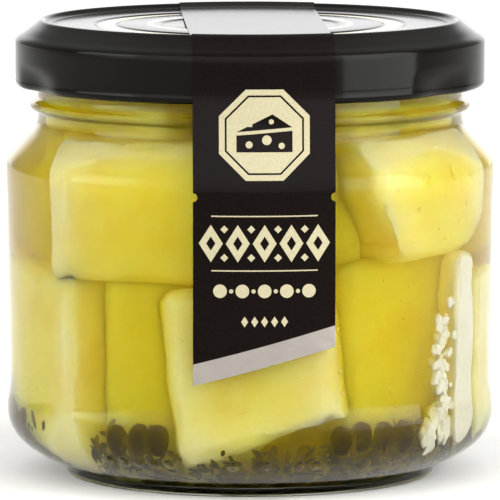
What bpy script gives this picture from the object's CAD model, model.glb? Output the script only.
import math
import random

import bmesh
import bpy
import numpy as np
from mathutils import Matrix, Vector, noise


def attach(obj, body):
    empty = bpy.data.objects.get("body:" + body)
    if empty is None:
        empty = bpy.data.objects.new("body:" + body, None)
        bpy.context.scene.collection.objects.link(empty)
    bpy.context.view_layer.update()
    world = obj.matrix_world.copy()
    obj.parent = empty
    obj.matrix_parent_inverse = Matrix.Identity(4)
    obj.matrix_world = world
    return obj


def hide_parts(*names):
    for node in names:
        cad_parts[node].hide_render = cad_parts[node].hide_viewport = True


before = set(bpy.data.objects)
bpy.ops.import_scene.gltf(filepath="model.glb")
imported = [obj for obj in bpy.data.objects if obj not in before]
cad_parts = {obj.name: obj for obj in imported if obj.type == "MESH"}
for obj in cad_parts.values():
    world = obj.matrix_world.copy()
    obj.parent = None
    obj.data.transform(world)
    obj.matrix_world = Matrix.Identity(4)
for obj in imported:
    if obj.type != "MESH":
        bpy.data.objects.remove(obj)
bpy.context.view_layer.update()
scene = bpy.context.scene
mm = 0.001
noise.seed_set(3)  # else its vectors come from the clock, and the cheese differs from run to run


def linearColour(hexCode):
    channels = [int(hexCode[i:i + 2], 16) / 255 for i in (1, 3, 5)]
    return (*[c / 12.92 if c <= 0.04045 else ((c + 0.055) / 1.055) ** 2.4 for c in channels], 1.0)


def addNode(tree, kind, settings=None, links=None):
    # a key of settings is an input's name or number, or else an attribute of the node
    node = tree.nodes.new(kind)
    for key, value in (settings or {}).items():
        if key == "stops":  # a colour ramp's own, as place and colour, from left to right
            ramp = node.color_ramp
            ends = (ramp.elements[0], ramp.elements[-1])
            ends[0].position, ends[0].color = value[0][0], linearColour(value[0][1])
            ends[1].position, ends[1].color = value[-1][0], linearColour(value[-1][1])
            for place, colour in value[1:-1]:
                ramp.elements.new(place).color = linearColour(colour)
        elif isinstance(key, int) or key in node.inputs:
            node.inputs[key].default_value = value
        else:
            setattr(node, key, value)
    for key, source in (links or {}).items():
        tree.links.new(source, node.inputs[key])
    return node


def newMaterial(name, settings, *patterns):
    # a pattern is noise of a size in mm, which gives the finish its tint, its gloss or its relief
    made = bpy.data.materials.new(name)
    made.use_nodes = True
    tree = made.node_tree
    tree.nodes.clear()
    shader = addNode(tree, "ShaderNodeBsdfPrincipled", settings)
    addNode(tree, "ShaderNodeOutputMaterial", links={"Surface": shader.outputs[0]})
    place = addNode(tree, "ShaderNodeTexCoord").outputs["Object"]
    for pattern in patterns:
        blotches = addNode(tree, "ShaderNodeTexNoise", {
            "Scale": 1 / (pattern["size"] * mm), "Detail": pattern["detail"],
            "Roughness": pattern.get("fineness", 0.5)}, {"Vector": place}).outputs[0]
        if "tint" in pattern:
            tint = addNode(tree, "ShaderNodeValToRGB", {"stops": pattern["tint"]}, {"Fac": blotches})
            tree.links.new(tint.outputs[0], shader.inputs["Base Color"])
        if "gloss" in pattern:  # the roughness, from and to
            least, most = pattern["gloss"]
            gloss = addNode(tree, "ShaderNodeMapRange", {3: least, 4: most}, {0: blotches})
            tree.links.new(gloss.outputs[0], shader.inputs["Roughness"])
        if "relief" in pattern:  # strength, and depth in mm
            strength, depth = pattern["relief"]
            bump = addNode(tree, "ShaderNodeBump", {
                "Strength": strength, "Distance": depth * mm}, {"Height": blotches})
            tree.links.new(bump.outputs[0], shader.inputs["Normal"])
    return made


def newTree(name, inputs):
    # a Geometry Nodes tree with a geometry in and out, and named inputs as (name, kind, first value)
    tree = bpy.data.node_groups.new(name, "GeometryNodeTree")
    tree.interface.new_socket("Geometry", in_out="INPUT", socket_type="NodeSocketGeometry")
    tree.interface.new_socket("Geometry", in_out="OUTPUT", socket_type="NodeSocketGeometry")
    for label, kind, value in inputs:
        tree.interface.new_socket(label, in_out="INPUT", socket_type="NodeSocket" + kind).default_value = value
    return tree, addNode(tree, "NodeGroupInput").outputs


def endTree(tree, finish, copies, push=None):
    # copies on points, made real, with a push given to their surface, and dressed
    placed = addNode(tree, "GeometryNodeInstanceOnPoints", links=copies)
    real = addNode(tree, "GeometryNodeRealizeInstances", links={"Geometry": placed.outputs[0]})
    if push:
        real = addNode(tree, "GeometryNodeSetPosition", links={
            "Geometry": real.outputs[0], "Offset": push.outputs[0]})
    dressed = addNode(tree, "GeometryNodeSetMaterial", {"Material": finish}, {"Geometry": real.outputs[0]})
    addNode(tree, "NodeGroupOutput", links={0: dressed.outputs[0]})
    return tree


def grownMesh(mesh, tree, values):
    # runs the tree on a mesh and gives the plain mesh that it makes
    carrier = bpy.data.objects.new("carrier", mesh)
    scene.collection.objects.link(carrier)
    modifier = carrier.modifiers.new(tree.name, "NODES")
    modifier.node_group = tree
    for item in tree.interface.items_tree:
        if item.in_out == "INPUT" and item.name in values:
            modifier[item.identifier] = values[item.name]
    bpy.context.view_layer.update()
    graph = bpy.context.evaluated_depsgraph_get()
    grown = bpy.data.meshes.new_from_object(carrier.evaluated_get(graph))
    carrier.modifiers.clear()
    bpy.data.objects.remove(carrier, do_unlink=True)
    return grown


def newPiece(name, mesh, replaced=(), sharpAngle=35):
    # the finished piece, which rides on the one body
    mesh.name = name
    mesh.shade_smooth()
    mesh.set_sharp_from_angle(angle=math.radians(sharpAngle))
    piece = bpy.data.objects.new(name, mesh)
    scene.collection.objects.link(piece)
    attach(piece, "root")
    if replaced:
        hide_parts(*replaced)
    return piece


def newMesh(points, faces, finishes, which=None):
    # points in mm, and which finish each face has
    mesh = bpy.data.meshes.new("shape")
    mesh.from_pydata([tuple(c * mm for c in point) for point in points], [], faces)
    for finish in finishes:
        mesh.materials.append(finish)
    if which is not None:
        mesh.polygons.foreach_set("material_index", which)
    return mesh


def meshOf(shape, name="shape"):
    mesh = bpy.data.meshes.new(name)
    shape.to_mesh(mesh)
    shape.free()
    return mesh


def arc(centreR, centreZ, radius, start, end, steps):
    angles = np.radians(np.linspace(start, end, steps + 1))
    return [(centreR + radius * math.cos(a), centreZ + radius * math.sin(a)) for a in angles]


def curve(start, leave, arrive, end, steps):
    # a cubic curve; leave and arrive are its handles, measured from its two ends
    a, d = np.array(start, float), np.array(end, float)
    b, c = a + np.array(leave), d + np.array(arrive)
    t = np.linspace(0, 1, steps + 1)[:, None]
    return [tuple(p) for p in (1 - t) ** 3 * a + 3 * (1 - t) ** 2 * t * b + 3 * (1 - t) * t**2 * c + t**3 * d]


def chain(*runs):
    joined = []
    for point in (p for run in runs for p in run):
        if not joined or math.dist(point, joined[-1]) > 0.01:
            joined.append(point)
    return joined


def throughPoints(points, steps):
    # a smooth line through points, with the same number of steps between each two
    p = np.array(points, float)
    p = np.vstack([2 * p[0] - p[1], p, 2 * p[-1] - p[-2]])
    t = np.linspace(0, 1, steps, endpoint=False)[:, None]
    runs = []
    for i in range(1, len(p) - 2):
        before, a, b, after = p[i - 1:i + 3]
        runs += list(a + 0.5 * t * ((b - before) + t * (2 * before - 5 * a + 4 * b - after
                     + t * (3 * (a - b) + after - before))))
    return [tuple(q) for q in runs] + [tuple(p[-2])]


def around(azimuth, radius, z=0.0):
    angle = math.radians(azimuth)
    return Vector((radius * math.sin(angle), -radius * math.cos(angle), z))


def turnedShape(outline, azimuths, moved=None):
    # a body turned about Z; the outline goes up where it is on the outside. moved gives a place its radius.
    points, faces, rings = [], [], []
    count = len(azimuths)
    for index, (r, z) in enumerate(outline):
        if r < 1e-6:
            rings.append([len(points)] * count)
            points.append((0.0, 0.0, z))
            continue
        rings.append(list(range(len(points), len(points) + count)))
        for azimuth in azimuths:
            points.append(tuple(around(azimuth, moved(index, azimuth, r, z) if moved else r, z)))
    for low, high in zip(rings, rings[1:]):
        for i in range(count):
            j = (i + 1) % count
            faces.append(list(dict.fromkeys((low[i], low[j], high[j], high[i]))))
    return points, faces


glass = {
    "rim": (80.7, 1.1),  # height, and the radius of its rounding
    "neck": 38.4,  # outer radius
    "bore": 35.7,  # inner radius there
    "ring": (39.9, 67.1, 0.87),  # the bead under the lid: how far out, height, rounding
    "wave": 0.10,  # how uneven the pressed glass is inside
    "dots": (-9, -8, -7, -6, -5, -1, 1, 3, 4),  # the moulded code on the heel: which places hold a dot
    "dotPitch": 4.0,  # degrees
    "dotSpan": (-42, 22),  # the mesh is finer between these azimuths, where the dots are
    "dotHeight": 6.7,
    "dotRadius": 0.85,
    "dotProud": 0.55,
}


def glassOutside():
    # the outline as radius and height, from the rim down and under the foot to the middle
    rimZ, rimRound = glass["rim"]
    ringR, ringZ, ringRound = glass["ring"]
    neck = glass["neck"]
    return chain(
        arc(neck - rimRound, rimZ - rimRound, rimRound, 90, 0, 6),
        [(neck, 75), (neck, 70.0), (neck, ringZ + 1.6), (neck + 0.12, ringZ + 1.2)],
        arc(ringR - ringRound, ringZ, ringRound, 62, -62, 10),
        [(neck + 0.12, ringZ - 1.2), (neck, ringZ - 1.6)],
        curve((neck, 64.9), (0, -1.5), (-1.1, 1.15), (40.2, 61.55), 10),
        curve((40.2, 61.55), (0.7, -0.75), (-0.7, 0.75), (42.3, 59.3), 4),
        curve((42.3, 59.3), (1.2, -1.25), (0, 1.8), (44.15, 55.4), 12),
        curve((44.15, 55.4), (0, -2.2), (0, 3.0), (43.93, 48.5), 7),
        curve((43.93, 48.5), (0, -10), (0, 10), (43.5, 18.5), 14),
        curve((43.5, 18.5), (0, -3.9), (0, 2.2), (44.05, 12.15), 8),
        curve((44.05, 12.15), (-0.1, -6.2), (5.4, 2.5), (33.3, 1.6), 56),
        [(33.3, 1.0), (33.25, 0.5), (33.1, 0.2), (32.8, 0.0), (31.6, 0.0), (30.6, 0.0)],
        curve((30.6, 0), (-1.5, 1.2), (6, 0), (0, 2.0), 8),
    )


def glassInside():
    # from the middle of the floor up to the rim
    bore = glass["bore"]
    return chain(
        curve((0, 5.6), (9, 0), (-9, 0), (28, 5.2), 6),
        curve((28, 5.2), (9.5, 0), (0, -7), (41.1, 16), 22),
        curve((41.1, 16), (0, 8), (0, -10), (41.53, 48.5), 12),
        curve((41.53, 48.5), (0, 2.3), (0, -2.3), (41.75, 55.4), 4),
        curve((41.75, 55.4), (0, 2.0), (1.5, -1.6), (38.1, 60.15), 10),
        curve((38.1, 60.15), (-1.2, 1.3), (0, -1.6), (bore, 65.3), 7),
        [(bore, 70), (bore, 75), (bore, 79.6), (36.0, 80.35), (36.8, 80.7)],
    )


outsideLine = glassOutside()
insideLine = glassInside()
sideRuns = {
    "in": np.array([p for p in insideLine if p[0] >= 28]),
    "out": np.array([p for p in outsideLine if 1.6 <= p[1] <= 56.5][::-1]),
}


def wallRadius(z, side="in"):
    run = sideRuns[side]
    return float(np.interp(z, run[:, 1], run[:, 0]))


def clearance(r, z):
    # how far a place of the outline's plane is from the inner wall
    inside = np.array(insideLine)
    a, b = inside[:-1], inside[1:]
    along = np.clip(((np.array((r, z)) - a) * (b - a)).sum(1) / ((b - a) ** 2).sum(1), 0, 1)
    return float(np.linalg.norm(a + along[:, None] * (b - a) - (r, z), axis=1).min())


def wallWave(azimuth, z):
    # the slow unevenness that pressing leaves on the inner wall, which the oil shares
    fade = min(1.0, max(0.0, (z - 7) / 6)) * min(1.0, max(0.0, (66 - z) / 6))
    return glass["wave"] * fade * noise.noise(around(azimuth, 42, z) / 15)


def keptInside(point, gap):
    # a place of the contents, moved in where it would touch the wall
    radius = math.hypot(point.x, point.y)
    most = wallRadius(point.z) - gap - glass["wave"] * 0.5
    if radius > most:
        point.xy *= most / radius
    return point


def keepMeshInside(mesh, gap):
    for vertex in mesh.vertices:
        vertex.co = keptInside(vertex.co / mm, gap) * mm


def buildGlass():
    # Flint glass, pressed and blown: clear, a little uneven, so highlights and what is behind them waver.
    clear = newMaterial("clear flint glass", {
        "Base Color": linearColour("#fbfdfa"), "Roughness": 0.0, "IOR": 1.52, "Transmission Weight": 1.0,
        "Specular Tint": (0.12, 0.12, 0.12, 1)}, {"size": 9, "detail": 1.0, "relief": (0.35, 0.05)})
    # The same glass where oil wets it: the two bend light alike, so nothing mirrors there.
    wet = newMaterial("oil-wetted glass", {
        "Base Color": linearColour("#ffffff"), "Roughness": 0.0, "IOR": 1.52, "Transmission Weight": 1.0,
        "Specular Tint": (0, 0, 0, 1)})

    outline = outsideLine[::-1] + insideLine[::-1]
    outsideCount = len(outsideLine)
    firstDot, lastDot = glass["dotSpan"]
    azimuths = [*np.arange(-180, firstDot, 3), *np.arange(firstDot, lastDot, 0.36), *np.arange(lastDot, 180, 3)]

    def moved(index, azimuth, r, z):
        if index >= outsideCount:
            return r + (wallWave(azimuth, z) if r > 34 else 0)
        if abs(z - glass["dotHeight"]) < glass["dotRadius"] and r > 40 and firstDot <= azimuth <= lastDot:
            for dot in glass["dots"]:
                across = math.radians(azimuth - dot * glass["dotPitch"]) * r
                off = (across**2 + (z - glass["dotHeight"]) ** 2) / glass["dotRadius"] ** 2
                if off < 1:
                    r += glass["dotProud"] * (1 - off) ** 0.6
        return r

    points, faces = turnedShape(outline, azimuths, moved)
    which = []
    for face in faces:
        heights = [points[i][2] for i in face]
        radii = [math.hypot(points[i][0], points[i][1]) for i in face]
        inner = min(heights) > 5 and max(radii) < wallRadius(max(heights)) + 0.7
        which.append(1 if inner and max(heights) < 76 else 0)
    newPiece("glassJar", newMesh(points, faces, [clear, wet], which), ["jar"], 60)
    print("glass:", len(faces), "faces")


buildGlass()


oil = {
    "intoWall": 0.08,  # how far it reaches into the glass, so that no air gap shows
    "top": 76.5,  # its level, up inside the lid
    "density": 190.0,  # per metre, with the colour below: red 1, green 10, blue 190
    "colour": (0.995, 0.947, 0.0, 1.0),
    "haze": 80.0,  # how cloudy it is, per metre: fine curd hangs in it
    "hazeColour": (1.0, 0.76, 0.02, 1.0),
    "hazeForward": 0.3,  # how much of the light it sends on the way it was going
}


def buildOil():
    # Rapeseed oil, cold pressed, a little cloudy with curd: it takes blue out of what is seen through
    # it, so pieces at the wall are pale and whatever lies deeper is a full, soft yellow.
    finish = newMaterial("clear yellow oil", {
        "Base Color": (1, 1, 1, 1), "Roughness": 0.0, "IOR": 1.47, "Transmission Weight": 1.0,
        "Specular Tint": (0, 0, 0, 1)})
    tree = finish.node_tree
    inside = addNode(tree, "ShaderNodeVolumeAbsorption", {"Color": oil["colour"], "Density": oil["density"]})
    cloud = addNode(tree, "ShaderNodeVolumeScatter", {
        "Color": oil["hazeColour"], "Density": oil["haze"], "Anisotropy": oil["hazeForward"]})
    both = addNode(tree, "ShaderNodeAddShader", links={0: inside.outputs[0], 1: cloud.outputs[0]})
    tree.links.new(both.outputs[0], tree.get_output_node("ALL").inputs["Volume"])
    line = np.array([p for p in insideLine if p[1] < oil["top"] - 0.5] + [(glass["bore"], oil["top"])])
    step = np.gradient(line, axis=0)
    outwards = np.stack([step[:, 1], -step[:, 0]], 1) / np.linalg.norm(step, axis=1)[:, None]
    line = line + outwards * oil["intoWall"]
    line[0, 0], line[-1, 1] = 0, oil["top"]
    outline = [tuple(p) for p in line] + [(20.0, oil["top"]), (0.0, oil["top"])]

    def moved(index, azimuth, r, z):
        return r + (wallWave(azimuth, z) if r > 34 and index < len(line) else 0)

    points, faces = turnedShape(outline, list(np.arange(-180, 180, 3)), moved)
    newPiece("oil", newMesh(points, faces, [finish]), sharpAngle=50)
    print("oil:", len(faces), "faces")


buildOil()


# Each piece: azimuth, how far out its outer face is, its lowest point, width along the wall, depth,
# height, its turn about its own upright, its lean, and the corners cut off it as (across, up, distance).
cheese = {
    "pieces": (
        (1, 38.6, 9.4, 28.5, 20, 29.2, -2, 7, ((0.24, -0.97, 13.9),)),
        (-75, 38.6, 6.4, 36, 20, 33.2, 4, 0, ((-0.43, -0.9, 10.6),)),
        (47, 33.6, 10.6, 24, 19, 31.8, 0, 1, ()),
        (80, 40.0, 9.4, 15, 19, 29, 8, 0, ()),
        (64.5, 42.5, 9.2, 6.5, 9, 33, 0, -1, ()),
        (128, 37.8, 10.5, 28, 20, 28, -5, 3, ()),
        (180, 37.4, 9.2, 30, 20, 29, 4, -3, ()),
        (-131, 37.6, 9.8, 28, 19, 28, -3, 2, ()),
        (-37.5, 37.2, 38.4, 32, 21, 23.5, 16, 1, ()),
        (55, 38.6, 41.6, 31, 21, 21, -2, 0, ((0.66, -0.75, 12.5), (-0.9, -0.44, 13.2))),
        (10, 31.5, 37.0, 24, 16, 22, 4, 0, ()),
        (-98, 28.0, 38.6, 24, 18, 20.6, -5, -2, ()),
        (112, 37.4, 40.2, 26, 19, 17, 5, 2, ()),
        (163, 37.2, 39.6, 27, 20, 16, 0, -2, ()),
        (-146, 37.4, 39.8, 28, 20, 16.5, 6, 1, ()),
    ),
    "middle": (  # no side shows these whole
        (15, 27, 48.0, 34, 26, 21, 10, 2, ()),
        (195, 26, 48.0, 34, 24, 20, 5, -2, ()),
        (-29, 33.6, 9.0, 19, 16, 31, 12, 0, ()),
        (20, 9, 13.5, 24, 22, 21, 12, 5, ()),
        (200, 11, 14.5, 24, 18, 20, 0, -4, ()),
        (-60, 10, 36.0, 24, 22, 17, 25, 3, ()),
        (130, 10, 36.5, 24, 20, 16, 5, -3, ()),
        (-54, 30.5, 61.6, 30, 16, 8.6, 3, 0, ()),  # these two lie behind the neck
        (56, 30.5, 62.4, 28, 16, 7.8, -4, 0, ()),
    ),
    "crumbled": (  # azimuth, height and size, most of them beside the tall slab
        (53.5, 30.3, 1.5), (54.6, 27.2, 1.9), (52.0, 25.4, 1.3), (53.6, 22.4, 2.2), (52.4, 20.0, 1.6),
        (54.4, 18.6, 2.0), (55.6, 15.2, 2.1), (53.8, 13.4, 2.4), (56.0, 11.4, 2.0), (49.8, 10.9, 1.9),
        (51.6, 9.6, 1.7), (57.5, 33.4, 1.3), (56.6, 24.4, 1.2), (98, 14, 2.0), (101, 17, 1.5),
        (152, 13, 2.1), (155, 15.5, 1.4), (-158, 12.5, 2.0), (-104, 12, 1.8), (-101, 15, 1.3),
    ),
    "small": 46,  # smaller ones among those beside the slab
    "smallAt": (54.2, 1.5),  # their azimuth, and how far it strays
    "round": 2.6,  # radius of the edges
    "warp": 0.9,  # how far a whole face bends in and out
    "curd": 0.22,  # how lumpy the faces are
    "torn": 1.0,  # how much is crumbled off the edges
    "waves": (14, 4.5, 5, 1.8),  # how long the bends, the lumps, the torn places and their crumbling are
    "clinging": (0.42, 30000.0),  # crumbs of curd on the pieces: size, and how many to a square metre
    "cell": 1.25,  # mesh size
    "offWall": 0.12,  # how far the pieces stay off the glass
    "touch": 0.1,  # and the clinging crumbs
    "soaked": ("#f7e192", "#fcebaa"),
    "white": ("#ebe5d2", "#f2eee2"),
    "whiteUnder": 8.0,  # pieces narrower than this are newly broken and white
}


def lumpShape(size, seed, corners=()):
    # a cut piece with rounded edges, uneven faces and crumbled corners, its middle at the origin
    half = Vector(size) / 2
    bendWave, lumpWave, tornWave, crumbWave = cheese["waves"]
    shape = bmesh.new()
    bmesh.ops.create_cube(shape, size=2)
    bmesh.ops.subdivide_edges(shape, edges=shape.edges, cuts=int(max(size) / cheese["cell"]), use_grid_fill=True)
    shift = Vector((seed, 2 * seed, 0))
    for vertex in shape.verts:
        place = Vector([c * h for c, h in zip(vertex.co, half)])
        cut = Vector()
        for across, up, most in corners:
            cut -= Vector((across, 0, up)) * max(0.0, across * place.x + up * place.z - most)
        inner = Vector([max(-h + cheese["round"], min(h - cheese["round"], c)) for c, h in zip(place, half)])
        edge = place - inner
        corner = sorted(abs(c) for c in edge)[1] / cheese["round"]  # 0 on a face, 1 on an edge
        edge.length = cheese["round"]
        place = inner + edge
        outwards = edge.normalized()
        broad = noise.noise_vector(place / bendWave + shift) * cheese["warp"]
        lumps = noise.fractal(place / lumpWave + shift * 3, 0.8, 2.1, 4) * cheese["curd"]
        torn = max(0.0, noise.noise(place / tornWave + shift * 5) + 0.15) * corner * cheese["torn"]
        torn += max(0.0, noise.noise(place / crumbWave - shift)) * corner * 0.5 * cheese["torn"]
        vertex.co = place + cut + broad + outwards * (lumps - torn)
    return shape


def freshCheese(name, colours, soft):
    # Fresh white cheese, cut and kept in oil: milky and soft, so light sinks in before it comes out,
    # with a fine curd grain and hardly any shine of its own under the oil.
    return newMaterial(name, {
        "Roughness": 0.5, "Specular IOR Level": 0.0, "Subsurface Weight": soft,
        "Subsurface Radius": (1.0, 0.85, 0.6), "Subsurface Scale": 8.0 * mm},
        {"size": 8, "detail": 4.0, "tint": tuple(zip((0.3, 0.6), colours))},
        {"size": 1.3, "detail": 5.0, "fineness": 0.65, "relief": (0.8, 0.25)})


def crumbTree(finish):
    # crumbs of curd that cling to the pieces
    tree, given = newTree("cheese crumbs", [
        ("Crumb Size", "Float", 0.5 * mm), ("Per Square Metre", "Float", 20000.0), ("Seed", "Int", 3)])
    spread = addNode(tree, "GeometryNodeDistributePointsOnFaces", links={
        "Mesh": given["Geometry"], "Density": given["Per Square Metre"], "Seed": given["Seed"]})
    ball = addNode(tree, "GeometryNodeMeshIcoSphere", {"Subdivisions": 2}, {"Radius": given["Crumb Size"]})
    sizes = addNode(tree, "FunctionNodeRandomValue", {
        "data_type": "FLOAT_VECTOR", 0: (0.3, 0.3, 0.2), 1: (1.7, 1.3, 0.9)}, {"Seed": given["Seed"]})
    rough = addNode(tree, "ShaderNodeTexNoise", {"Scale": 1 / (0.6 * mm)})
    push = addNode(tree, "ShaderNodeVectorMath", {
        "operation": "SCALE", "Scale": 0.4 * mm}, {0: rough.outputs["Color"]})
    return endTree(tree, finish, {
        "Points": spread.outputs["Points"], "Instance": ball.outputs["Mesh"],
        "Rotation": spread.outputs["Rotation"], "Scale": sizes.outputs[0]}, push)


def buildCheese():
    # what has soaked in the oil is yellow through, and a newly broken face is still white
    soaked = freshCheese("cheese soaked in oil", cheese["soaked"], 1.0)
    white = freshCheese("fresh white cheese", cheese["white"], 0.0)
    curd = freshCheese("clinging curd", cheese["soaked"], 0.0)
    whole = bmesh.new()

    def addLump(lump, placed, which):
        for face in lump.faces:
            face.material_index = which
        for vertex in lump.verts:
            vertex.co = keptInside(placed @ vertex.co, cheese["offWall"]) * mm
        mesh = meshOf(lump)
        whole.from_mesh(mesh)
        bpy.data.meshes.remove(mesh)

    for number, row in enumerate(cheese["pieces"] + cheese["middle"]):
        azimuth, outer, low, width, depth, height, turn, lean, corners = row
        middle = around(azimuth, outer - depth / 2, low + height / 2)
        placed = Matrix.Translation(middle) @ Matrix.Rotation(math.radians(azimuth + turn), 4, "Z")
        placed = placed @ Matrix.Rotation(-math.radians(lean), 4, "Y")
        addLump(lumpShape((width, depth, height), number, corners), placed, int(width < cheese["whiteUnder"]))
    draw = random.Random(11)
    small = [(draw.gauss(*cheese["smallAt"]), draw.uniform(9.5, 31), draw.uniform(0.5, 1.1))
             for _ in range(cheese["small"])]
    for azimuth, height, size in list(cheese["crumbled"]) + small:
        lump = bmesh.new()
        bmesh.ops.create_icosphere(lump, subdivisions=3, radius=size)
        shift = Vector((azimuth, height, size))
        for vertex in lump.verts:
            vertex.co *= 0.85 + 0.5 * noise.fractal(vertex.co / 1.6 + shift, 0.7, 2.1, 3)
        middle = around(azimuth, wallRadius(height) - size * 0.75, height)
        addLump(lump, Matrix.Translation(middle) @ Matrix.Rotation(draw.uniform(0, 3), 4, "X"), 1)
    mesh = meshOf(whole)
    for finish in (soaked, white):
        mesh.materials.append(finish)
    crumbSize, perSquareMetre = cheese["clinging"]
    crumbs = grownMesh(mesh.copy(), crumbTree(curd), {
        "Crumb Size": crumbSize * mm, "Per Square Metre": perSquareMetre, "Seed": 3})
    keepMeshInside(crumbs, cheese["touch"])
    newPiece("cheesePieces", mesh, ["cheese"], 80)
    newPiece("cheeseCrumbs", crumbs, sharpAngle=80)
    print("cheese:", len(mesh.polygons), "faces, crumbs:", len(crumbs.polygons))


buildCheese()


bed = {
    "cornRadius": 2.3,  # a whole peppercorn's
    "wrinkle": 0.34,  # how deep the folds of the skin are
    "pitch": 6.2,  # degrees between those that lie against the wall
    "rows": ((7.5, 0.9), (10.7, 0.75)),  # against the wall: height, and share of the places that hold one
    "bareFront": (-23, 21),  # the low piece of cheese lies here, so only single ones do
    "bareSide": (-59, -47),  # the end of another one is here
    "single": ((-2, 7.4), (13, 7.6), (17.5, 8.0)),  # azimuth and height
    "offWall": 0.45,
    "touch": 0.08,  # nothing comes nearer to the glass than this
    "floorRadius": 29.0,  # how far out the ones on the floor go
    "floorShare": 0.92,  # how much of the floor they cover
    "slivers": 420,  # of herb, among the peppercorns
    "sliverSpan": (24, 338),  # the azimuths and heights where they lie
    "sliverHeight": (6.6, 11.8),
    "floorSlivers": 640,  # lie on the glass, over the bend from floor to wall
    "seed": 5,
}


def cornTree(finish):
    # dried peppercorns: a ball at each point, turned at random, its skin shrunk into folds
    tree, given = newTree("peppercorns", [
        ("Corn Radius", "Float", 2.3 * mm), ("Fold Depth", "Float", 0.3 * mm), ("Seed", "Int", 5)])
    ball = addNode(tree, "GeometryNodeMeshIcoSphere", {"Subdivisions": 3}, {"Radius": given["Corn Radius"]})
    turns = addNode(tree, "FunctionNodeRandomValue", {
        "data_type": "FLOAT_VECTOR", 1: (6.28, 6.28, 6.28)}, {"Seed": given["Seed"]})
    sizes = addNode(tree, "FunctionNodeRandomValue", {"data_type": "FLOAT", 2: 0.86, 3: 1.0}, {"Seed": given["Seed"]})
    folds = addNode(tree, "ShaderNodeTexNoise", {"Scale": 1 / (1.5 * mm), "Detail": 2.0, "Distortion": 0.8})
    ridge = addNode(tree, "ShaderNodeMath", {"operation": "SUBTRACT", 1: 0.62}, {0: folds.outputs[0]})
    depth = addNode(tree, "ShaderNodeMath", {"operation": "MULTIPLY"}, {0: ridge.outputs[0], 1: given["Fold Depth"]})
    full = addNode(tree, "ShaderNodeMath", {"operation": "MULTIPLY", 1: 2.4}, {0: depth.outputs[0]})
    outwards = addNode(tree, "GeometryNodeInputNormal")
    push = addNode(tree, "ShaderNodeVectorMath", {"operation": "SCALE"}, {
        0: outwards.outputs[0], "Scale": full.outputs[0]})
    return endTree(tree, finish, {
        "Points": given["Geometry"], "Instance": ball.outputs["Mesh"],
        "Rotation": turns.outputs[0], "Scale": sizes.outputs[1]}, push)


def sliverTree(finish):
    # dried herb: flat bruised slivers, each laid the way its point says
    tree, given = newTree("herb slivers", [
        ("Length", "Float", 3.6 * mm), ("Width", "Float", 1.0 * mm), ("Thickness", "Float", 0.25 * mm),
        ("Seed", "Int", 8)])
    ball = addNode(tree, "GeometryNodeMeshIcoSphere", {"Subdivisions": 2, "Radius": 0.5})
    size = addNode(tree, "ShaderNodeCombineXYZ", links={0: given["Length"], 1: given["Width"], 2: given["Thickness"]})
    leaf = addNode(tree, "GeometryNodeTransform", links={"Geometry": ball.outputs["Mesh"], "Scale": size.outputs[0]})
    facing = addNode(tree, "GeometryNodeInputNamedAttribute", {"data_type": "FLOAT_VECTOR", "Name": "facing"})
    laid = addNode(tree, "FunctionNodeAlignRotationToVector", {"axis": "Z"}, {"Vector": facing.outputs[0]})
    spin = addNode(tree, "FunctionNodeRandomValue", {
        "data_type": "FLOAT_VECTOR", 0: (-0.3, -0.3, 0), 1: (0.3, 0.3, 6.28)}, {"Seed": given["Seed"]})
    turned = addNode(tree, "FunctionNodeRotateRotation", {"rotation_space": "LOCAL"}, {
        0: laid.outputs[0], 1: spin.outputs[0]})
    sizes = addNode(tree, "FunctionNodeRandomValue", {
        "data_type": "FLOAT_VECTOR", 0: (0.5, 0.5, 0.7), 1: (1.3, 1.4, 1.2)}, {"Seed": given["Seed"]})
    bends = addNode(tree, "ShaderNodeTexNoise", {"Scale": 1 / (2.5 * mm)})
    push = addNode(tree, "ShaderNodeVectorMath", {
        "operation": "MULTIPLY_ADD", 1: (1.2 * mm,) * 3, 2: (-0.6 * mm,) * 3}, {0: bends.outputs["Color"]})
    return endTree(tree, finish, {
        "Points": given["Geometry"], "Instance": leaf.outputs[0],
        "Rotation": turned.outputs[0], "Scale": sizes.outputs[0]}, push)


def pointMesh(places, facings=None):
    mesh = bpy.data.meshes.new("places")
    mesh.from_pydata([tuple(p * mm) for p in places], [], [])
    if facings:
        facing = mesh.attributes.new("facing", "FLOAT_VECTOR", "POINT")
        facing.data.foreach_set("vector", [c for f in facings for c in f])
    return mesh


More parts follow.
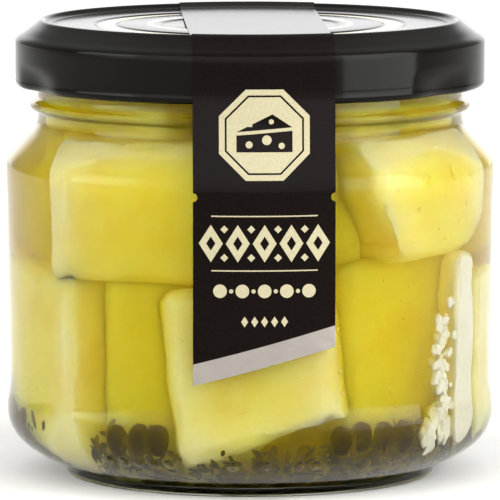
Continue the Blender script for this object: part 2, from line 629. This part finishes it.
def buildBed():
    draw = random.Random(bed["seed"])
    radius = bed["cornRadius"]
    # Black pepper, dried in the sun: a dull dark brown skin, wrinkled, a little lighter on the ridges.
    dull = {"Roughness": 0.6, "Specular IOR Level": 0.0}
    skin = newMaterial("dried peppercorn", dull, {
        "size": 1.1, "detail": 4.0, "tint": ((0.3, "#150d03"), (0.55, "#2e1f08"), (0.75, "#5a4412")),
        "relief": (0.7, 0.2)})
    # Bruised herb leaf in oil: olive to brown, thin and limp.
    leaf = newMaterial("oiled herb leaf", dull, {
        "size": 3, "detail": 3.0, "tint": ((0.3, "#3a330a"), (0.5, "#574910"), (0.7, "#6e5416"))})

    places = []

    def atWall(azimuth, z):
        fromAxis = wallRadius(z) - radius
        while clearance(fromAxis, z) < radius + bed["offWall"]:
            fromAxis -= 0.1
        return around(azimuth, fromAxis - draw.uniform(0, 0.6), z)

    def within(azimuth, span):
        return span[0] < (azimuth + 180) % 360 - 180 < span[1]

    for azimuth, z in bed["single"]:
        places.append(atWall(azimuth, z))
    for height, share in bed["rows"]:
        for azimuth in np.arange(-180, 180, bed["pitch"]):
            azimuth += draw.uniform(-1.2, 1.2)
            bare = within(azimuth, bed["bareFront"]) or within(azimuth, bed["bareSide"])
            if not bare and draw.random() < share:
                places.append(atWall(azimuth, height + draw.uniform(-0.5, 0.5)))
    step = 2 * radius * 1.02
    for row in range(-7, 8):
        for column in range(-7, 8):
            spot = Vector(((column + 0.5 * (row % 2)) * step, row * step * 0.87, 0))
            spot += Vector((draw.uniform(-0.4, 0.4), draw.uniform(-0.4, 0.4), 8.0 + draw.uniform(-0.2, 0.4)))
            if spot.xy.length < bed["floorRadius"] and draw.random() < bed["floorShare"]:
                places.append(spot)
    corns = grownMesh(pointMesh(places), cornTree(skin), {
        "Corn Radius": radius * mm, "Fold Depth": bed["wrinkle"] * mm, "Seed": bed["seed"]})
    keepMeshInside(corns, bed["touch"])
    newPiece("peppercornBed", corns, ["peppercorns"], 80)

    spots, facings = [], []
    for _ in range(bed["slivers"]):
        azimuth = draw.uniform(*bed["sliverSpan"])
        z = draw.uniform(*bed["sliverHeight"])
        if within(azimuth, bed["bareSide"]):
            continue
        spots.append(around(azimuth, wallRadius(z) - draw.uniform(0.6, 5.0), z))
        facings.append(around(azimuth, 1.0, draw.uniform(-0.2, 0.5)))
    bend = sideRuns["in"][sideRuns["in"][:, 1] < 9.5]
    slope = np.gradient(bend, axis=0)
    inwards = np.stack([-slope[:, 1], slope[:, 0]], 1) / np.linalg.norm(slope, axis=1)[:, None]
    for _ in range(bed["floorSlivers"]):
        azimuth, at = draw.uniform(0, 360), draw.randrange(len(bend))
        r, z = bend[at] + inwards[at] * draw.uniform(0.4, 2.2)
        if within(azimuth, bed["bareSide"]) and r > 34:
            continue
        spots.append(around(azimuth, r, z))
        facings.append(around(azimuth, -inwards[at][0], -inwards[at][1]))
    herbs = grownMesh(pointMesh(spots, facings), sliverTree(leaf), {
        "Length": 3.0 * mm, "Width": 0.9 * mm, "Thickness": 0.25 * mm, "Seed": 8})
    keepMeshInside(herbs, bed["touch"])
    newPiece("herbSlivers", herbs, sharpAngle=80)
    print("bed:", len(places), "peppercorns,", len(corns.polygons), "faces, herb:", len(herbs.polygons))


buildBed()


lid = {
    "radius": 42.4,
    "crest": (37.6, 82.4, 0.9),  # the raised edge of the top: radius, height, rounding
    "panel": (36.0, 81.5),  # the flat top: radius and height
    "steps": (28.0, 24.0, 16.0),  # stamped rings: where the top steps down or up
    "stepHeight": 0.25,
    "printed": ((24.5, 27.5), (17.6, 18.6)),  # plain cream rings: inner and outer radius
    "sheet": 0.3,  # how thick the tinplate is, with its lacquer
    "curl": (41.35, 71.5, 1.05),  # the rolled lower edge: radius, height, rounding
    "lugs": (6, -5, 12, 1.2, 4.0),  # count, azimuth of the first, half angle, depth, height
}


def lidOutline():
    # from the middle of the underside down inside the skirt, round the curl, and up outside to the middle
    sheet, step = lid["sheet"], lid["stepHeight"]
    crestR, crestZ, crestRound = lid["crest"]
    panelR, panelZ = lid["panel"]
    curlR, curlZ, curlRound = lid["curl"]
    inner = lid["radius"] - sheet
    rings, height = [(0.0, panelZ - step), (8.0, panelZ - step)], panelZ - step
    for radius in reversed(lid["steps"]):
        other = panelZ if height < panelZ else panelZ - step
        rings += [(radius - 0.5 + t, height + (other - height) * (3 * t**2 - 2 * t**3)) for t in np.linspace(0, 1, 7)]
        height = other
    rings = sorted(rings + [(radius, panelZ) for radius in lid["printed"][1]])
    top = chain(
        rings,
        [(30.5, panelZ), (33.0, panelZ), (panelR - 0.4, panelZ), (panelR + 0.2, panelZ + 0.06)],
        arc(crestR, crestZ - crestRound, crestRound, 152, 42, 12),
        curve((38.9, 81.55), (0.7, -0.5), (-0.7, 0.5), (40.9, 80.05), 4),
        curve((40.9, 80.05), (0.9, -0.55), (0, 0.65), (lid["radius"], 78.6), 8),
        [(lid["radius"], 77.5), (lid["radius"], 76.4)],
        [(lid["radius"], float(z)) for z in np.linspace(75.5, 72.6, 8)],
        arc(curlR, curlZ, curlRound, 20, -230, 20),
    )
    under = [(inner, 73.5), (inner, 75.5), (inner, 78.6), (40.9, 79.6), (38.3, 81.5), (37.0, 81.6),
             (36.0, panelZ - step - sheet), (20.0, panelZ - step - sheet), (0.0, panelZ - step - sheet)]
    return (top + under)[::-1]


def lugPull(azimuth, z):
    # how far the skirt is pressed in: most at its lower edge, in the middle of a lug
    count, first, halfAngle, depth, height = lid["lugs"]
    off = abs((azimuth - first + 180 / count) % (360 / count) - 180 / count) / halfAngle
    rise = max(0.0, (z - lid["curl"][1]) / height)
    if off >= 1 or rise >= 1:
        return 0.0
    return depth * (0.5 + 0.5 * math.cos(math.pi * off)) ** 0.8 * (1 - rise**2) ** 1.5


def buildLid():
    # Tinplate, stamped and stoved with black lacquer: a deep gloss with a faint orange peel, so the
    # soft lights show as bands with slightly wavering edges.
    finish = newMaterial("stoved black lacquer", {
        "Base Color": linearColour("#080706"), "IOR": 1.45, "Specular IOR Level": 0.08},
        {"size": 14, "detail": 3.0, "gloss": (0.09, 0.15)}, {"size": 0.9, "detail": 1.0, "relief": (0.12, 0.03)})
    # Cream lacquer, printed on before stamping: as glossy as the black, a little thicker.
    cream = newMaterial("cream printed lacquer", {"IOR": 1.45, "Specular IOR Level": 0.3, "Roughness": 0.14}, {
        "size": 2, "detail": 3.0, "tint": ((0.3, "#b3a984"), (0.7, "#bdb38d"))})

    def moved(index, azimuth, r, z):
        return r - lugPull(azimuth, z) if z < 76 and r > 36 else r

    points, faces = turnedShape(lidOutline(), list(np.arange(-180, 180, 1.5)), moved)
    which = []
    for face in faces:
        radii = [math.hypot(points[i][0], points[i][1]) for i in face]
        onTop = min(points[i][2] for i in face) > lid["panel"][1] - lid["stepHeight"] - 0.05
        inRing = any(low - 0.01 < min(radii) and max(radii) < high + 0.01 for low, high in lid["printed"])
        which.append(int(onTop and inRing))
    newPiece("twistLid", newMesh(points, faces, [finish, cream], which), ["lid"], 50)
    print("lid:", len(faces), "faces")


buildLid()


strip = {
    "width": 25.0,
    "offAxis": 0.8,  # how far its middle lies beside the jar's axis
    "turn": 2.3,  # degrees about the axis
    "offGlass": 0.06,
    "thick": 0.12,
    "end": (24.5, 3.4),  # the slanting end: height of its middle, and half its rise
    "foil": 3.8,  # height of the foil band
    "notch": (54.4, 0.8),  # the tear notches: height and radius
    "columns": 36,  # of the mesh, across
}


def stripCourse():
    # the strip's way over the shoulder and the lid's edge, as radius and height
    off = strip["offGlass"]
    return throughPoints([
        (wallRadius(52.4, "out") + off, 52.4), (44.15 + off, 54.9), (43.92 + off, 58.4), (43.4, 62.6), (42.95, 67.0),
        (42.55, 71.0), (lid["radius"] + off, 74.5), (lid["radius"] + off, 78.3), (42.18, 79.3), (41.2, 80.02),
        (39.7, 81.12), (38.45, 82.12), (37.6, 82.4 + off), (36.7, 82.1), (35.4, 81.62), (33.0, 81.5 + off),
        (30.5, 81.5 + off)], 8)


bridge = stripCourse()
bridgeRise = [p for p in bridge if p[1] <= 79.3][:33]


def stripRadius(z):
    # the strip's inner face at a height on its front or back
    if z <= 52.4:
        return wallRadius(z, "out") + strip["offGlass"]
    return float(np.interp(z, [p[1] for p in bridgeRise], [p[0] for p in bridgeRise]))


def onStrip(across, r, z, front=True):
    side = across + strip["offAxis"]
    y = math.sqrt(max(r * r - side * side, 0)) * (-1 if front else 1)
    return Matrix.Rotation(math.radians(strip["turn"]), 3, "Z") @ Vector((side, y, z))


def stripRows():
    # the strip's stations from its front end to its back end: (front or not, kind, value)
    low = [("foil", t) for t in np.linspace(0, 1, 5)]
    low += [("body", t) for t in np.linspace(0, 1, 24)[1:]]
    notchFoot = (wallRadius(53.5, "out") + strip["offGlass"], 53.5)
    low += [("course", p) for p in throughPoints([bridge[0], notchFoot], 2)[1:]]
    low += [("course", (wallRadius(z, "out") + strip["offGlass"], float(z))) for z in np.linspace(53.5, 55.3, 19)[1:]]
    low += [("course", p) for p in bridge if p[1] > 55.5 or p[0] < 40]
    rows = [(True, *row) for row in low]
    rows += [(None, "flat", y) for y in np.linspace(-1, 1, 25)[1:-1]]
    return rows + [(False, *row) for row in reversed(low)]


def stripPlace(row, across, lift):
    front, kind, value = row
    wide = strip["width"] / 2
    if kind == "flat":
        y = value * math.sqrt(30.5**2 - (across + strip["offAxis"]) ** 2)
        flat = Vector((across + strip["offAxis"], y, 81.5 + strip["offGlass"] + lift))
        return Matrix.Rotation(math.radians(strip["turn"]), 3, "Z") @ flat
    end = strip["end"][0] + strip["end"][1] * across / wide * (1 if front else -1)
    if kind == "course":
        r, z = value
        notchZ, notchR = strip["notch"]
        if abs(z - notchZ) < notchR:
            across *= (wide - math.sqrt(notchR**2 - (z - notchZ) ** 2)) / wide
        rise = min(1.0, max(0.0, (z - 79.0) / 2.0))  # the lift turns from outwards to upwards over the corner
        return onStrip(across, r + lift * (1 - rise), z + lift * rise, front)
    z = end + strip["foil"] * value if kind == "foil" else (end + strip["foil"]) * (1 - value) + 52.4 * value
    return onStrip(across, stripRadius(z) + lift, z, front)


def stripMaterials():
    # Coated paper, printed black and varnished: a soft brown-black with a satin sheen and faint fibres.
    paper = newMaterial("satin black label paper", {"Specular IOR Level": 0.05, "Roughness": 0.15}, {
        "size": 0.7, "detail": 6.0, "fineness": 0.7, "tint": ((0.35, "#060302"), (0.7, "#0b0504")),
        "relief": (0.25, 0.03)})
    # Hot-stamped silver foil: a soft, slightly warm mirror with a brushed cloudiness.
    foil = newMaterial("hot-stamped silver foil", {"Metallic": 1.0, "Base Color": linearColour("#87817b")}, {
        "size": 2.2, "detail": 4.0, "gloss": (0.24, 0.42), "relief": (0.7, 0.06)})
    # The gummed side, which shows only through the glass.
    gummed = newMaterial("gummed paper back", {"Roughness": 0.7}, {
        "size": 1.5, "detail": 4.0, "tint": ((0.3, "#b9b4a6"), (0.7, "#cfcbbf"))})
    # Cream ink, screen printed: matt and even, laid thickly enough to hide the black.
    ink = newMaterial("cream screen ink", {"Roughness": 0.55, "Specular IOR Level": 0.35}, {
        "size": 0.5, "detail": 3.0, "tint": ((0.3, "#857e62"), (0.7, "#8e876b"))})
    return paper, foil, gummed, ink


paperFinish, foilFinish, gummedFinish, inkFinish = stripMaterials()


def buildStrip():
    rows = stripRows()
    columns = strip["columns"]
    acrossAt = [strip["width"] * (c / columns - 0.5) for c in range(columns + 1)]
    wide = columns + 1
    points = []
    for lift in (strip["thick"], 0.0):
        for row in rows:
            points += [tuple(stripPlace(row, across, lift)) for across in acrossAt]
    under = len(rows) * wide
    faces, which = [], []
    for i in range(len(rows) - 1):
        finish = 1 if rows[i][1] == "foil" and rows[i + 1][1] == "foil" else 0
        for c in range(columns):
            a, b = i * wide + c, (i + 1) * wide + c
            faces += [(a, a + 1, b + 1, b), (under + a, under + b, under + b + 1, under + a + 1)]
            which += [finish, 2]
        for a, b in ((i * wide, (i + 1) * wide), ((i + 1) * wide + columns, i * wide + columns)):
            faces.append((a, b, under + b, under + a))
            which.append(finish)
    last = (len(rows) - 1) * wide
    for c in range(columns):
        end = last + c
        faces += [(c + 1, c, under + c, under + c + 1), (end, end + 1, under + end + 1, under + end)]
        which += [1, 1]
    mesh = newMesh(points, faces, [paperFinish, foilFinish, gummedFinish], which)
    newPiece("labelStrip", mesh, ["label"], 40)
    print("strip:", len(faces), "faces")


buildStrip()


def printTree(finish):
    # one row of a repeated flat motif: corners and turn say what it is, from a lozenge to a disc
    tree, given = newTree("row of print", [
        ("Count", "Int", 5), ("Pitch", "Float", 2.0), ("Corners", "Int", 4), ("Turn", "Float", 0.0),
        ("Width", "Float", 1.0), ("Height", "Float", 1.0), ("Up", "Float", 40.0)])
    half = addNode(tree, "ShaderNodeMath", {"operation": "MULTIPLY_ADD", 1: 0.5, 2: -0.5}, {0: given["Count"]})
    back = addNode(tree, "ShaderNodeMath", {"operation": "MULTIPLY"}, {0: half.outputs[0], 1: given["Pitch"]})
    left = addNode(tree, "ShaderNodeMath", {"operation": "MULTIPLY", 1: -1.0}, {0: back.outputs[0]})
    start = addNode(tree, "ShaderNodeCombineXYZ", links={0: left.outputs[0], 1: given["Up"]})
    step = addNode(tree, "ShaderNodeCombineXYZ", links={0: given["Pitch"]})
    line = addNode(tree, "GeometryNodeMeshLine", links={
        "Count": given["Count"], "Start Location": start.outputs[0], "Offset": step.outputs[0]})
    motif = addNode(tree, "GeometryNodeMeshCircle", {
        "fill_type": "NGON", "Radius": 1.0}, {"Vertices": given["Corners"]})
    spin = addNode(tree, "ShaderNodeCombineXYZ", links={2: given["Turn"]})
    size = addNode(tree, "ShaderNodeCombineXYZ", {2: 1.0}, {0: given["Width"], 1: given["Height"]})
    spun = addNode(tree, "GeometryNodeTransform", links={"Geometry": motif.outputs[0], "Rotation": spin.outputs[0]})
    sized = addNode(tree, "GeometryNodeTransform", links={"Geometry": spun.outputs[0], "Scale": size.outputs[0]})
    return endTree(tree, finish, {"Points": line.outputs[0], "Instance": sized.outputs[0]})


artwork = {
    # each row: finish, layer, height on the strip, count, pitch, corners, turn, half width, half height
    "rows": (
        ("ink", 1, 65.4, 1, 1.0, 8, 22.5, 8.6, 8.6),  # the emblem's field
        ("ink", 1, 51.2, 1, 1.0, 4, 45.0, 13.2, 0.16),  # rules
        ("ink", 1, 41.6, 1, 1.0, 4, 45.0, 13.2, 0.16),
        ("ink", 1, 46.4, 5, 4.7, 4, 0.0, 2.1, 3.3),  # tall lozenges, each with a dark heart
        ("paper", 2, 46.4, 5, 4.7, 4, 0.0, 0.8, 1.25),
        ("ink", 1, 48.9, 4, 4.7, 4, 0.0, 0.7, 0.7),  # small ones in the gaps above and below
        ("ink", 1, 43.9, 4, 4.7, 4, 0.0, 0.7, 0.7),
        ("ink", 1, 38.0, 5, 3.9, 28, 0.0, 1.2, 1.2),  # discs with dots between them
        ("ink", 1, 38.0, 4, 3.9, 12, 0.0, 0.38, 0.38),
        ("ink", 1, 32.6, 5, 1.75, 4, 0.0, 0.62, 0.95),  # a short row of diamonds
    ),
    # the emblem, a wedge of cheese in a thin border: its own parts from its middle, as corners across and up
    "emblemUp": 65.4,
    "wedge": (((-4.9, 0.5), (1.4, 3.6), (4.9, 1.3)), ((-4.9, -0.1), (4.9, 0.7), (4.9, -3.0), (-4.9, -3.0))),
    "holes": ((-2.7, -1.7, 0.62), (0.4, -0.9, 0.85), (3.0, -1.9, 0.55), (1.2, 2.3, 0.45)),
    "border": (7.15, 7.5),
}


def laidOnStrip(shape, layer):
    # cuts a flat shape into small cells, so that it follows the bend, and lays it on the strip
    cuts = [((at, 0, 0), (1, 0, 0)) for at in np.arange(-13, 13.1, 1.3)]
    cuts += [((0, at, 0), (0, 1, 0)) for at in np.arange(30, 76, 1.3)]
    for at, facing in cuts:
        whole = shape.verts[:] + shape.edges[:] + shape.faces[:]
        bmesh.ops.bisect_plane(shape, geom=whole, plane_co=at, plane_no=facing)
    for vertex in shape.verts:
        lift = strip["thick"] + 0.02 * layer
        vertex.co = onStrip(vertex.co.x, stripRadius(vertex.co.y) + lift, vertex.co.y) * mm
    bmesh.ops.recalc_face_normals(shape, faces=shape.faces)
    for face in shape.faces:
        if face.normal.y > 0:
            face.normal_flip()
        face.material_index = 0


def buildPrint():
    finishes = {"ink": inkFinish, "paper": paperFinish}
    trees = {kind: printTree(finish) for kind, finish in finishes.items()}
    done = {kind: bmesh.new() for kind in finishes}

    def add(kind, shape, layer):
        laidOnStrip(shape, layer)
        done[kind].from_mesh(meshOf(shape))

    for kind, layer, up, count, pitch, corners, turn, width, height in artwork["rows"]:
        start = bpy.data.meshes.new("start")
        start.from_pydata([(0, 0, 0)], [], [])
        row = grownMesh(start, trees[kind], {"Count": count, "Pitch": pitch, "Corners": corners,
                        "Turn": math.radians(turn), "Width": width, "Height": height, "Up": up})
        shape = bmesh.new()
        shape.from_mesh(row)
        add(kind, shape, layer)
    middle = artwork["emblemUp"]
    polygons = [("paper", 2, [(x, y + middle) for x, y in corners]) for corners in artwork["wedge"]]
    for x, y, radius in artwork["holes"]:
        turns = np.linspace(0, 2 * math.pi, 20, endpoint=False)
        polygons.append(("ink", 3, [(x + radius * math.cos(a), middle + y + radius * math.sin(a)) for a in turns]))
    near, far = artwork["border"]
    for side in range(8):  # one bar for each side of the octagon
        a, b = math.radians(45 * side - 22.5), math.radians(45 * side + 22.5)
        bar = [(far, a), (far, b), (near, b), (near, a)]
        polygons.append(("paper", 2, [(r * math.cos(t), middle + r * math.sin(t)) for r, t in bar]))
    for kind, layer, corners in polygons:
        shape = bmesh.new()
        shape.faces.new([shape.verts.new((x, y, 0)) for x, y in corners])
        add(kind, shape, layer)
    for kind, name in (("ink", "creamPrint"), ("paper", "blackPrint")):
        mesh = meshOf(done[kind])
        mesh.materials.append(finishes[kind])
        newPiece(name, mesh)
        print("print:", name, len(mesh.polygons), "faces")


buildPrint()


studio = {
    "front": 5.4,  # how bright the room is in front of the jar, beside it, straight behind and overhead
    "beside": 0.6,
    "behind": 2.2,
    "overhead": 1.6,
    "lights": (  # name, azimuth, distance and height of the panel's middle, its width and height in m, and power
        ("softbox right", 65, 0.56, 0.25, 0.42, 0.5, 4.4),
        ("fill left", -75, 1.3, 0.5, 0.8, 0.8, 11),
    ),
    "camera": (1.21844, 6.5177, 0.040274),  # distance in m, degrees down, and the height that it aims at
    "view": 4.262,  # how wide it sees, in degrees
}


def buildStudio():
    # a matt white board, a little uneven
    board = newMaterial("matt white board", {"Roughness": 0.9, "Specular IOR Level": 0.1}, {
        "size": 250, "detail": 3.0, "tint": ((0.3, "#d0d0ce"), (0.7, "#d6d6d4"))})
    corners = [(-4000, -4000, -0.05), (4000, -4000, -0.05), (4000, 4000, -0.05), (-4000, 4000, -0.05)]
    mesh = newMesh(corners, [(0, 1, 2, 3)], [board])
    floor = bpy.data.objects.new("floor", mesh)
    scene.collection.objects.link(floor)

    world = bpy.data.worlds.new("studio")
    world.use_nodes = True
    scene.world = world
    tree = world.node_tree
    tree.nodes.clear()
    way = addNode(tree, "ShaderNodeTexCoord")
    parts = addNode(tree, "ShaderNodeSeparateXYZ", links={0: way.outputs["Generated"]})
    front = addNode(tree, "ShaderNodeMapRange", {
        "interpolation_type": "SMOOTHSTEP", 1: -0.55, 2: 0.1, 3: studio["front"], 4: studio["beside"]}, {
            0: parts.outputs[1]})
    behind = addNode(tree, "ShaderNodeMapRange", {
        "interpolation_type": "SMOOTHSTEP", 1: 0.86, 2: 0.96, 3: 0.0, 4: 1.0}, {0: parts.outputs[1]})
    allRound = addNode(tree, "ShaderNodeMix", {
        "data_type": "FLOAT", 3: studio["behind"]}, {0: behind.outputs[0], 2: front.outputs[0]})
    above = addNode(tree, "ShaderNodeMapRange", {
        "interpolation_type": "SMOOTHSTEP", 1: 0.45, 2: 0.85, 3: 0.0, 4: 1.0}, {0: parts.outputs[2]})
    level = addNode(tree, "ShaderNodeMix", {
        "data_type": "FLOAT", 3: studio["overhead"]}, {0: above.outputs[0], 2: allRound.outputs[0]})
    sky = addNode(tree, "ShaderNodeBackground", links={"Strength": level.outputs[0]})
    addNode(tree, "ShaderNodeOutputWorld", links={0: sky.outputs[0]})

    for name, azimuth, distance, height, wide, tall, power in studio["lights"]:
        light = bpy.data.lights.new(name, "AREA")
        light.shape, light.size, light.size_y, light.energy = "RECTANGLE", wide, tall, power
        lamp = bpy.data.objects.new(name, light)
        scene.collection.objects.link(lamp)
        lamp.location = around(azimuth, distance, height)
        lamp.rotation_euler = (Vector((0, 0, lamp.location.z)) - lamp.location).to_track_quat("-Z", "Y").to_euler()

    distance, down, aim = studio["camera"]
    tilt = math.radians(down)
    camera = bpy.data.objects.new("camera", bpy.data.cameras.new("camera"))
    scene.collection.objects.link(camera)
    camera.location = (0, -distance * math.cos(tilt), aim + distance * math.sin(tilt))
    camera.rotation_euler = (math.pi / 2 - tilt, 0, 0)
    camera.data.lens = 18 / math.tan(math.radians(studio["view"]) / 2)
    scene.camera = camera
    scene.view_settings.view_transform = "Standard"
    scene.cycles.max_bounces = scene.cycles.transmission_bounces = 16
    scene.cycles.diffuse_bounces = 8
    scene.cycles.volume_bounces = 12
    print("studio: floor, world, two soft lights and the camera")


buildStudio()
